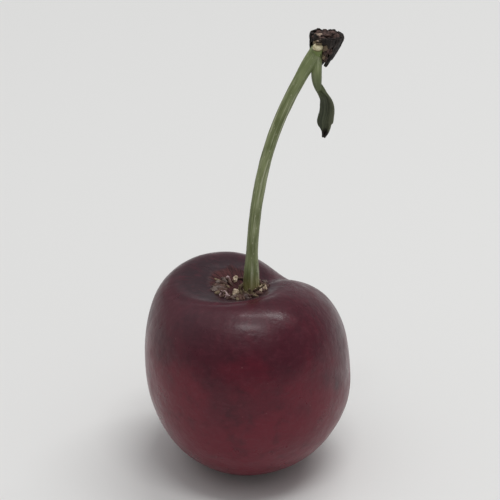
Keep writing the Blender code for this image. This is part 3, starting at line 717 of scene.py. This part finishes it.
def build_fruit(look):
    """The fruit's skin, from a ball of points pushed out by the skin's rule."""
    mesh = bmesh.new()
    bmesh.ops.create_uvsphere(mesh, u_segments=FRUIT_SEGMENTS, v_segments=FRUIT_RINGS, radius=1.0)
    meridian = mesh.verts.layers.float_vector.new("meridian")
    names = ("ripeness", "painted_cavity_shade", "torn", "painted_sheen_and_wax")
    ripeness, painted_cavity_shade, torn, painted_sheen_and_wax = [mesh.verts.layers.float.new(name) for name in names]
    for vertex in mesh.verts:
        theta = math.acos(max(-1.0, min(1.0, vertex.co.z)))
        phi = math.atan2(vertex.co.y, vertex.co.x)
        point = fruit_point(theta, phi)
        outward = (point - FRUIT_CENTRE).normalized()
        push = SOFT_LUMPS * noise_at(point, SOFT_LUMP_SIZE, 2.0)
        push += SMALL_DIMPLES * noise_at(point, SMALL_DIMPLE_SIZE, 4.0)
        point += outward * (push - SKIN_INSET)
        point.z = resting_height(point.z)
        vertex.co = point
        vertex[meridian] = tuple(STRIPE_RADIUS * part for part in (math.cos(phi), math.sin(phi), theta))
        lower = 0.5 - 0.5 * math.cos(max(min((theta - 0.5) / 1.6, 1.0), 0.0) * math.pi)
        side = 0.5 + 0.5 * math.cos(phi - RIPEST_SIDE)
        in_groove = bell(turn_between(phi, SUTURE_SIDE), SUTURE_SPREAD)
        vertex[ripeness] = lower * (0.45 + 0.55 * side) - 0.3 * in_groove
        upper = theta < UPPER_ANGLE
        from_lip = (point.xy - LIP_CENTRE).length - LIP_RADIUS
        # Painted shade mask: the cavity inside the lip, which the skin's colour darkens.
        soft = LIP_WIDTH + 2.4 * MM * (1 - bell(turn_between(phi, LIP_SIDE), 1.3 * LIP_SPREAD))
        vertex[painted_cavity_shade] = upper * fade(from_lip, soft)
        along_lip = bell(turn_between(phi, LIP_BEAD_SIDE), LIP_SPREAD)
        bead = LIP_BEAD * bell(from_lip - 0.10 * MM, 0.32 * MM)
        roll = bead - LIP_CREASE * bell(from_lip - 0.85 * MM, 0.34 * MM)
        vertex.co += outward * roll * upper * along_lip
        # Painted highlight mask: a band just inside the lip, plus a shoulder patch of wax and painted
        # sheen.
        on_side = bell(turn_between(phi, SHEEN_AND_WAX_SIDE), SHEEN_AND_WAX_SPREAD) * bell(theta - SHEEN_AND_WAX_ANGLE, 0.22)
        vertex[painted_sheen_and_wax] = max(upper * along_lip * bell(from_lip + 0.65 * MM, 0.50 * MM), 0.6 * on_side)
        from_ring = (point.xy - TORN_CENTRE).length - TORN_RADIUS
        from_ring += 0.9 * MM * noise_at(point, 1.1 * MM, 8.0)
        vertex[torn] = upper * fade(from_ring, 0.35 * MM)
    return finish_piece("fruit_skin", mesh, [look], "fruit", 180.0)


# ---------------------------------------------------------------- the stem
STEM_RINGS = 150
STEM_SIDES = 32
SHOOT_SIDES = 28
SHOOT_STEPS = 44
STEM_FULLNESS = 1.05  # the stalk's ribs stand round this much of its radius
SHOOT_START = 33.0 * MM  # the shoot's fibres carry on from this length of the stem's
SCAR_TURNED = Vector((-0.02, -0.36, 0.93)).normalized()
SCAR_FOOT = Vector((0.02, -0.52, 0.02)) * MM  # from the stem's end
SCAR_REACH = 0.86 * MM
SCAR_PROFILE = (  # share of its reach and of its radius
    (-0.7, 0.7),
    (0.0, 1.0),
    (0.45, 1.14),
    (0.78, 1.16),
    (0.93, 1.08),
    (1.0, 0.96),
    (0.99, 0.8),
    (0.94, 0.5),
)


def stem_relief(turn, length):
    """Low ribs along the stem that wander and fade as they go."""
    reach = length / MM
    drift = 0.35 * math.sin(reach * 0.21) + 0.2 * math.sin(reach * 0.47 + 1.0)
    broad = 0.050 * math.sin(3 * (turn + drift) + 0.8)
    fine = 0.018 * math.sin(8 * turn + 1.7 * drift)
    lumps = 0.050 * noise_at(Vector((math.cos(turn), math.sin(turn), reach * 0.45)), 0.9, 3.0)
    return broad + fine + lumps


def round_off(centres, radii, height, lifts):
    """Adds rings past the last one that close the line in a dome, its height a share of its radius."""
    along = (centres[-1] - centres[-2]).normalized()
    end, radius = centres[-1], radii[-1]
    for lift in lifts:
        centres.append(end + along * radius * height * lift)
        radii.append(radius * math.sqrt(1 - lift * lift))


def build_stem(look, scar_look):
    """The stem with its side shoot and the pale round scar at its end."""
    mesh = bmesh.new()
    first = -STEM_SUNK / STEM_RISE
    shares = [first + (1.0 - first) * step / STEM_RINGS for step in range(STEM_RINGS + 1)]
    centres = [stem_point(share) for share in shares]
    radii = [STEM_FULLNESS * stem_radius(share) for share in shares]
    round_off(centres, radii, 0.40, (0.35, 0.62, 0.82, 0.93, 0.985))
    sweep(mesh, centres, radii, STEM_SIDES, relief=stem_relief)
    centres = [shoot_point(step / SHOOT_STEPS) for step in range(SHOOT_STEPS + 1)]
    radii = [shoot_radius(step / SHOOT_STEPS) for step in range(SHOOT_STEPS + 1)]
    round_off(centres, radii, 1.0, (0.5, 0.85))
    sweep(mesh, centres, radii, SHOOT_SIDES, relief=stem_relief, start=SHOOT_START)
    finish_piece("green_stem", mesh, [look], "stem", 80.0)

    mesh = bmesh.new()
    centres = [stem_point(1.0) + SCAR_FOOT + SCAR_TURNED * SCAR_REACH * depth for depth, _ in SCAR_PROFILE]
    radii = [SCAR_RADIUS * width for _, width in SCAR_PROFILE]

    def uneven(turn, length):
        return 0.10 * noise_at(Vector((math.cos(turn), math.sin(turn), length / MM)), 0.6, 9.0)

    sweep(mesh, centres, radii, 32, up=Vector((1.0, 0.0, 0.0)), relief=uneven, start=-0.7 * SCAR_REACH)
    finish_piece("stem_end_scar", mesh, [scar_look], "stem", 80.0)


# ---------------------------------------------------------------- the torn receptacle
TORN_BITS = (  # place on the cavity's floor in mm, size in mm, and which look
    (-2.24, 2.30, (0.24, 0.22, 0.34), 3),
    (-1.34, 2.45, (0.26, 0.22, 0.36), 1),
    (-1.28, -0.60, (0.36, 0.36, 0.42), 1),
    (-0.75, -0.55, (0.42, 0.30, 0.30), 2),
    (-0.30, -0.20, (0.30, 0.46, 0.44), 2),
    (-0.20, 0.95, (0.30, 0.40, 0.50), 2),
    (0.15, -0.95, (0.52, 0.26, 0.26), 0),
    (0.95, -1.05, (0.46, 0.26, 0.28), 2),
    (1.60, -0.60, (0.40, 0.24, 0.32), 1),
    (2.30, -0.25, (0.22, 0.26, 0.34), 1),
    (2.45, 0.60, (0.40, 0.34, 0.22), 0),
    (1.75, 1.10, (0.34, 0.36, 0.40), 0),
    (2.35, 3.60, (0.30, 0.22, 0.14), 4),
    (-4.05, -0.55, (0.40, 0.22, 0.14), 4),
    (-3.55, 1.35, (0.34, 0.20, 0.14), 4),
    (-2.45, -1.75, (0.30, 0.22, 0.18), 3),
)
TORN_STRANDS = (  # from and to on the floor in mm, hump in mm, radius in mm, and which look
    (-3.25, -2.05, -2.90, -0.35, 0.30, 0.16, 3),
    (-2.90, -0.35, -2.15, -2.05, 0.34, 0.17, 3),
    (-1.15, -0.35, -0.10, 1.45, 0.72, 0.26, 2),
    (-0.60, -0.90, 0.20, 0.10, 0.60, 0.20, 2),
    (0.30, -0.45, 1.75, -0.85, 0.52, 0.17, 1),
    (1.60, -1.00, 2.15, 0.70, 0.45, 0.14, 1),
    (1.00, -1.25, 2.60, -0.20, 0.28, 0.15, 0),
    (-1.20, 2.75, 0.30, 2.90, 0.20, 0.14, 0),
    (-2.10, -2.15, -0.30, -1.95, 0.24, 0.16, 0),
    (-0.30, -1.80, 1.30, -1.70, 0.22, 0.15, 0),
    (-4.30, 0.30, -3.40, -1.00, 0.16, 0.11, 4),
)
BIT_GROWTH = 1.32  # the bits are this much larger than their sizes above
BIT_ROUGHNESS = 0.55
FLESH_RIDGES = 30
COLLAR_TAGS = 15


def floor_point(x, y, lift=0.0):
    """A point above the cavity's floor, from its place in millimetres."""
    return Vector((x * MM, y * MM, cavity_height(x * MM, y * MM) + lift * MM))


def torn_sheet(mesh, root, heading, curl, face, half, seed, look):
    """A small ragged sheet that stands on its root and narrows upwards."""

    def route(share):
        return root + heading * share + curl * share * share

    def half_width(share):
        return half * (1 - 0.75 * share**1.6)

    blade(mesh, route, half_width, face, 0.10 * MM, 8, 6, ragged=0.14 * MM, seed=seed, look=look)


def build_receptacle(looks):
    """Torn dry tissue round the stem's foot: a low ragged ring, bits, strands and a collar of tags."""
    draw = random.Random(RING_SEED)
    mesh = bmesh.new()
    for index in range(FLESH_RIDGES):
        share = (index + draw.uniform(0.1, 0.9)) / FLESH_RIDGES
        turn = RING_START + (RING_END - RING_START) * share
        outward = Vector((math.cos(turn), math.sin(turn), 0.0))
        inner = ring_point(turn, 0.0, draw.uniform(-1.7, -0.6) * MM) / MM
        outer = ring_point(turn + draw.uniform(-0.12, 0.12), 0.0, draw.uniform(0.2, 0.95) * MM) / MM
        steps = 12
        centres, radii = [], []
        height, thick = draw.uniform(0.06, 0.28), draw.uniform(0.19, 0.33)
        for step in range(steps + 1):
            reach = step / steps
            x, y = inner.x + (outer.x - inner.x) * reach, inner.y + (outer.y - inner.y) * reach
            rise = height * math.sin(math.pi * min(reach * 1.25, 1.0)) ** 0.7
            centres.append(floor_point(x, y, rise - 0.02))
            uneven = 1 + 0.5 * noise_at(Vector((reach * 4.0, index, 0.0)), 1.0, 7.0)
            radii.append(thick * MM * uneven * (1 - 0.8 * abs(2 * reach - 1) ** 3))

        def torn(turn, length):
            place = Vector((math.cos(turn), math.sin(turn), length / MM * 2.4))
            return 0.22 * noise_at(place, 0.6, 2.0 + index)

        look = (0, 0, 4, 0, 2, 0, 0)[index % 7]
        sweep(mesh, centres, radii, 12, up=UP, relief=torn, look=look)
    for index, (x, y, size, look) in enumerate(TORN_BITS):
        place = Matrix.Translation(floor_point(x, y, 0.45 * size[2]))
        place @= Matrix.Rotation(draw.uniform(0.0, math.pi), 4, "Z")
        place @= Matrix.Rotation(draw.uniform(-0.4, 0.4), 4, "X")
        lump(mesh, place, [BIT_GROWTH * part * MM for part in size], BIT_ROUGHNESS, index * 2.3, look)
    finish_piece("torn_receptacle_bits", mesh, looks, "torn_receptacle", 70.0)

    mesh = bmesh.new()
    for index in range(COLLAR_TAGS):
        turn = math.radians(150) + math.radians(290) * (index + draw.uniform(0.2, 0.8)) / COLLAR_TAGS
        outward = Vector((math.cos(turn), math.sin(turn), 0.0))
        sideways = Vector((-math.sin(turn), math.cos(turn), 0.0))
        foot = Vector((STEM_FOOT_X, 0.0, 0.0)) / MM + outward * draw.uniform(1.02, 1.20)
        heading = (UP * draw.uniform(0.8, 1.3) + outward * draw.uniform(-0.10, 0.15)) * MM
        curl = (outward * draw.uniform(-0.1, 0.4) + sideways * draw.uniform(-0.3, 0.3)) * MM
        half = draw.uniform(0.28, 0.50) * MM
        look = (2, 2, 0, 2, 2)[index % 5]
        torn_sheet(mesh, floor_point(foot.x, foot.y, -0.1), heading, curl, outward, half, index * 1.3, look)
    for index in range(9):
        turn = RING_START + (RING_END - RING_START) * (index + draw.uniform(0.2, 0.8)) / 9
        root = ring_point(turn, -0.05 * MM, draw.uniform(-0.5, 0.3) * MM)
        outward = Vector((math.cos(turn), math.sin(turn), 0.0))
        sideways = Vector((-math.sin(turn), math.cos(turn), 0.0))
        lean = UP * 0.7 + outward * draw.uniform(-0.9, 0.8) + sideways * draw.uniform(-0.7, 0.7)
        heading = lean.normalized() * draw.uniform(0.5, 0.9) * MM
        curl = outward * draw.uniform(-0.5, 0.5) * MM
        half = draw.uniform(0.22, 0.42) * MM
        torn_sheet(mesh, root, heading, curl, outward, half, 20 + index * 1.3, (0, 4, 0, 2)[index % 4])
    tags = finish_piece("torn_receptacle_tags", mesh, looks, "torn_receptacle", 180.0)
    thicken(tags, 0.14 * MM)

    mesh = bmesh.new()
    for index, (x, y, to_x, to_y, hump, radius, look) in enumerate(TORN_STRANDS):
        steps = 18
        centres, radii = [], []
        for step in range(steps + 1):
            share = step / steps
            lift = hump * math.sin(math.pi * share) + 0.05
            aside = 0.18 * noise_at(Vector((share * 3.0, index, 0.0)), 1.0, 2.0)
            across, back = x + (to_x - x) * share + aside, y + (to_y - y) * share - aside
            centres.append(floor_point(across, back, lift))
            uneven = 1 + 0.5 * noise_at(Vector((share * 7.0, 0.0, index)), 1.0, 4.0)
            radii.append(radius * MM * (1 - 0.5 * abs(2 * share - 1) ** 2) * uneven)
        sweep(mesh, centres, radii, 12, up=UP, look=look)
    finish_piece("torn_receptacle_strands", mesh, looks, "torn_receptacle", 80.0)


# ---------------------------------------------------------------- the bud scales
CUP_STEPS = 90
RIM_RISE = -0.17 * MM  # of the thin rim over the solid cup's edge
CUP_INSIDE = (  # share of the length, and radius in millimetres
    (1.0, 1.34),
    (0.995, 1.22),
    (0.97, 1.06),
    (0.93, 0.84),
    (0.90, 0.62),
    (0.88, 0.40),
    (0.87, 0.18),
)
BUD_BITS = (  # place from the stem's end in mm, size in mm, and which look
    (0.72, -0.10, 0.30, (0.40, 0.34, 0.44), 2),
    (0.84, -0.15, -0.35, (0.36, 0.36, 0.50), 2),
    (0.90, 0.00, -1.05, (0.34, 0.34, 0.56), 0),
    (0.72, -0.88, 0.34, (0.17, 0.18, 0.26), 2),
    (0.92, -0.98, 0.62, (0.26, 0.20, 0.34), 2),
    (0.88, -0.90, -0.02, (0.20, 0.20, 0.32), 0),
    (0.76, -0.72, -0.52, (0.22, 0.24, 0.34), 2),
    (1.16, -0.72, 0.25, (0.22, 0.20, 0.46), 0),
    (0.98, -0.62, -0.80, (0.24, 0.22, 0.40), 0),
    (1.62, -0.42, 0.85, (0.24, 0.16, 0.34), 0),
    (1.50, -0.40, -0.05, (0.26, 0.16, 0.44), 0),
    (0.30, -0.52, 1.02, (0.50, 0.20, 0.14), 2),
    (0.28, -0.34, 1.36, (0.40, 0.22, 0.18), 1),
    (-0.30, -0.10, 0.92, (0.26, 0.26, 0.30), 2),
    (0.10, 0.45, 1.74, (0.46, 0.30, 0.22), 1),
    (-0.40, 0.50, 1.45, (0.30, 0.26, 0.28), 0),
    (0.55, 0.40, 1.62, (0.30, 0.30, 0.28), 0),
    (1.30, 0.30, 1.72, (0.44, 0.34, 0.26), 0),
    (1.75, 0.90, 1.79, (0.34, 0.46, 0.24), 0),
)

BUD_ROUGHNESS = 0.40


def rim_height(turn):
    """The height of the cup's thin rim, as a share of its length."""
    return 1 + 0.4 * (cup_edge(turn) - 1) + RIM_RISE / CUP_LENGTH


def scale_sheet(mesh, turn, root, tip, half, lift, seed, look):
    """One pointed scale lying along the cup, from its broken edge down to a share of its length."""
    flare = SCALE_FLARE * bell(turn_between(turn, SCALE_FLARED_SIDE), SCALE_FLARED_SPREAD)

    def route(share):
        along = root + (tip - root) * share
        (radius,) = read_stations(CUP_OUTSIDE, min(max(along, 0.0), 0.95))
        stand = lift + 0.12 * MM * share
        return cup_place(along, radius * (1 + flare * (1 - along)) * MM + stand, turn)

    def half_width(share):
        return half * max(1 - share**2.4, 0.0) ** 0.7 + SCALE_TIP

    face = cup_place(0.0, 1.0, turn) - cup_place(0.0, 0.0, turn)
    blade(mesh, route, half_width, face, SCALE_CUP, 18, 10, ragged=0.13 * MM, seed=seed, look=look)


def build_bud_scales(looks, bit_looks):
    """Dry scales lying along a cup with a broken top that is open inside, and back over the stem's end."""
    draw = random.Random(SCALE_SEED)
    mesh = bmesh.new()
    outer = [0.95 * step / 22 for step in range(23)]
    profile = [(0.0, 0.0)] + [(share, read_stations(CUP_OUTSIDE, share)[0]) for share in outer]
    profile += list(CUP_INSIDE) + [(0.865, 0.0)]
    points = [mesh.verts.new((radius * MM, 0.0, along * CUP_LENGTH)) for along, radius in profile]
    edges = [mesh.edges.new(pair) for pair in zip(points, points[1:])]
    turning = {"cent": (0, 0, 0), "axis": (0, 0, 1), "angle": 2 * math.pi, "steps": CUP_STEPS}
    bmesh.ops.spin(mesh, geom=points + edges, use_merge=True, **turning)
    bmesh.ops.remove_doubles(mesh, verts=mesh.verts[:], dist=0.001 * MM)
    bmesh.ops.recalc_face_normals(mesh, faces=mesh.faces[:])
    for face in mesh.faces:
        middle = face.calc_center_median()
        face.material_index = int(face.normal.z > 0.3 and middle.z > 0.8 * CUP_LENGTH)
    grain = grain_layer(mesh)
    for vertex in mesh.verts:
        local = vertex.co.copy()
        turn, radius = math.atan2(local.y, local.x), math.hypot(local.x, local.y)
        along = local.z / CUP_LENGTH
        around = Vector((math.cos(turn), math.sin(turn), 0.0))
        edge = bell(along - 1.0, 0.07)
        torn = CUP_RAGGED / CUP_LENGTH * (1.2 * noise_at(around, 0.30, 5.0) - 0.15)
        height = along + (torn + rim_height(turn) - 1.0) * edge
        rough = 0.10 * noise_at(around + UP * along * 2.0, 0.45, 8.0)
        rough += 0.12 * noise_at(local / MM, 0.32, 2.0)
        vertex.co = cup_place(height, radius * (1 + rough) + 0.06 * MM, turn)
        vertex[grain] = (turn * 1.4, 2.0, along * 4.3)
    finish_piece("broken_bud_cup", mesh, looks, "bud_scales", 70.0)

    mesh = bmesh.new()
    for index in range(SCALE_COUNT):
        turn = index * SCALE_TURN + draw.uniform(-0.15, 0.15)
        opening = max(math.cos(turn - SCALE_OPENING_SIDE), 0.0)
        tip = draw.uniform(*SCALE_REACH) + SCALE_SHORTENED * opening
        half = SCALE_HALF_WIDTH * draw.uniform(0.8, 1.05)
        lift = draw.uniform(0.12, 0.26) * MM
        root = rim_height(turn) + draw.uniform(-0.06, 0.02)
        if opening < 0.75:
            scale_sheet(mesh, turn, root, tip, half, lift, index * 1.7, 0)
    for index in range(9):
        turn = index * 2 * math.pi / 9 + draw.uniform(-0.3, 0.3)
        root = rim_height(turn) - draw.uniform(0.25, 0.45)
        tip = root - draw.uniform(0.30, 0.45)
        opening = max(math.cos(turn - SCALE_OPENING_SIDE), 0.0)
        if opening < 0.5:
            half = SCALE_HALF_WIDTH * draw.uniform(0.4, 0.6)
            scale_sheet(mesh, turn, root, max(tip, 0.0), half, 0.10 * MM, 30 + index * 1.7, 0)
    for index in range(16):
        turn = 2 * math.pi * (index + draw.uniform(0.1, 0.9)) / 16
        top = rim_height(turn) + draw.uniform(-0.06, 0.03)
        half = draw.uniform(0.14, 0.30) * MM
        scale_sheet(mesh, turn, top, top - draw.uniform(0.08, 0.20), half, -0.02 * MM, 60 + index * 1.7, 0)
    scales = finish_piece("bud_scale_blades", mesh, looks[:1], "bud_scales", 180.0)
    thicken(scales, 0.20 * MM)

    mesh = bmesh.new()
    for index, (x, y, z, size, look) in enumerate(BUD_BITS):
        place = Matrix.Translation(stem_point(1.0) + Vector((x, y, z)) * MM)
        lump(mesh, place, [part * MM for part in size], BUD_ROUGHNESS, 50 + index * 3.1, look)
    finish_piece("torn_bud_tissue", mesh, bit_looks, "bud_scales", 70.0)


# ---------------------------------------------------------------- the bract
BRACT_TUCK = 0.09  # share of its length by which its neck runs up inside the shoot's tip
BRACT_WALL = 0.62 * MM  # thickness at its neck


def build_bract(look):
    """A small folded leaf hanging from the side shoot, with a stout neck and a thin blade."""
    mesh = bmesh.new()

    def hang(share):
        return share * (1 + BRACT_TUCK) - BRACT_TUCK

    def route(share):
        return bract_point(hang(share))

    def half_width(share):
        return bract_half_width(hang(share))

    rows = 64
    blade(mesh, route, half_width, BRACT_FACE, BRACT_FOLD, rows, 14, fold=1.4, ragged=0.05 * MM, seed=2.0)
    mesh.verts.layers.deform.verify()
    bract = finish_piece("folded_bract", mesh, [look], "bract", 180.0)
    stout = bract.vertex_groups.new(name="stout")
    length = bract.data.attributes["grain"].data
    for vertex in bract.data.vertices:
        reach = length[vertex.index].vector.z * MM / BRACT_LENGTH
        stout.add([vertex.index], 0.42 + 0.58 * bell(max(reach, 0.0), 0.16), "REPLACE")
    thicken(bract, BRACT_WALL, group="stout")


# ---------------------------------------------------------------- floor, light and camera
CAMERA_PITCH = math.radians(30.0)  # it looks down by this much
CAMERA_DISTANCE = 0.300
CAMERA_RAISED = math.radians(2.779)  # its aim, above the fruit's middle
CAMERA_TURNED = math.radians(0.108)  # and to one side
ROOM_BRIGHTNESS = ((0.0, 0.38), (0.10, 0.36), (0.34, 0.28), (0.62, 0.32), (0.90, 0.86), (1.0, 0.92))
BACKDROP_BRIGHTNESS = 0.42  # as bright as the far floor


def build_stage():
    """A plain pale floor."""
    mesh = bmesh.new()
    bmesh.ops.create_grid(mesh, x_segments=1, y_segments=1, size=3.0)
    data = bpy.data.meshes.new("floor")
    mesh.to_mesh(data)
    mesh.free()
    look = Look("Pale floor", Base_Color=(0.78, 0.78, 0.765, 1.0), Roughness=0.75, Specular_IOR_Level=0.25)
    data.materials.append(look.material)
    floor = bpy.data.objects.new("floor", data)
    floor.location.z = -0.01 * MM
    bpy.context.scene.collection.objects.link(floor)


def soft_light(name, away, distance, size, power):
    """A rectangular soft light that faces the fruit, its long side level with the ground."""
    data = bpy.data.lights.new(name, "AREA")
    data.shape = "RECTANGLE"
    data.size, data.size_y = size
    data.energy = power
    light = bpy.data.objects.new(name, data)
    away = Vector(away).normalized()
    upward = away.cross(Vector((1.0, 0.0, 0.0))).normalized()
    light.location = FRUIT_CENTRE + away * distance
    light.rotation_euler = Matrix((upward.cross(away), upward, away)).transposed().to_euler()
    bpy.context.scene.collection.objects.link(light)


def build_light():
    """A soft room, dimmest at head height, with a pale backdrop and two soft boxes overhead."""
    world = bpy.data.worlds.new("Soft room")
    world.use_nodes = True
    nodes, links = world.node_tree.nodes, world.node_tree.links
    background = nodes["Background"]
    background.inputs["Color"].default_value = (0.985, 0.985, 1.0, 1.0)
    direction = nodes.new("ShaderNodeTexCoord")
    split = nodes.new("ShaderNodeSeparateXYZ")
    links.new(direction.outputs["Generated"], split.inputs[0])
    ramp = nodes.new("ShaderNodeValToRGB")
    ramp.color_ramp.interpolation = "EASE"
    for _ in range(len(ROOM_BRIGHTNESS) - 2):
        ramp.color_ramp.elements.new(0.5)
    for element, (height, level) in zip(ramp.color_ramp.elements, ROOM_BRIGHTNESS):
        element.position = height
        element.color = (level, level, level, 1.0)
    links.new(split.outputs["Z"], ramp.inputs[0])
    backdrop = nodes.new("ShaderNodeMix")
    backdrop.inputs[3].default_value = BACKDROP_BRIGHTNESS
    links.new(nodes.new("ShaderNodeLightPath").outputs["Is Camera Ray"], backdrop.inputs[0])
    links.new(ramp.outputs["Color"], backdrop.inputs[2])
    links.new(backdrop.outputs[0], background.inputs["Strength"])
    bpy.context.scene.world = world
    soft_light("Overhead", (0.11, -0.27, 0.95), 0.70, (0.32, 0.06), 0.95)
    soft_light("Overhead behind", (0.30, 0.24, 0.92), 0.70, (0.48, 0.07), 1.45)


def build_camera():
    """The camera looks down at the fruit from in front, at thirty degrees."""
    data = bpy.data.cameras.new("Camera")
    data.sensor_width = 36.0
    data.lens = 169.4
    data.clip_start = 0.01
    camera = bpy.data.objects.new("Camera", data)
    towards = Vector((0.0, -math.cos(CAMERA_PITCH), math.sin(CAMERA_PITCH)))
    camera.location = FRUIT_CENTRE + towards * CAMERA_DISTANCE
    camera.rotation_euler = (math.pi / 2 - CAMERA_PITCH + CAMERA_RAISED, 0.0, -CAMERA_TURNED)
    bpy.context.scene.collection.objects.link(camera)
    bpy.context.scene.camera = camera


# ---------------------------------------------------------------- everything together
stalk = green_stalk()
brown = dry_tissue("Brown torn tissue", (0.048, 0.021, 0.018), (0.125, 0.068, 0.050))
cream = dry_tissue("Cream dry tissue", (0.46, 0.35, 0.23), (0.74, 0.61, 0.46), 0.70)
olive = dry_tissue("Olive dry tissue", (0.085, 0.060, 0.034), (0.225, 0.165, 0.100))
pink = dry_tissue("Pinkish dry tissue", (0.21, 0.13, 0.13), (0.44, 0.32, 0.32), 0.65)
greyish = dry_tissue("Greyish dry tissue", (0.080, 0.050, 0.045), (0.19, 0.145, 0.125))
broken = dry_tissue("Broken bud tissue", (0.010, 0.0055, 0.0045), (0.105, 0.058, 0.046), 0.85, 1.5)
beige = dry_tissue("Beige bud tissue", (0.16, 0.11, 0.075), (0.48, 0.36, 0.28), 0.80, 1.8)

build_fruit(ripe_skin())
build_stem(stalk, pale_scar())
build_receptacle([brown, cream, olive, pink, greyish])
build_bud_scales([dark_scale(), broken], [broken, beige, olive])
build_bract(bract_leaf())
build_stage()
build_light()
build_camera()
bpy.context.scene.view_settings.view_transform = "Standard"
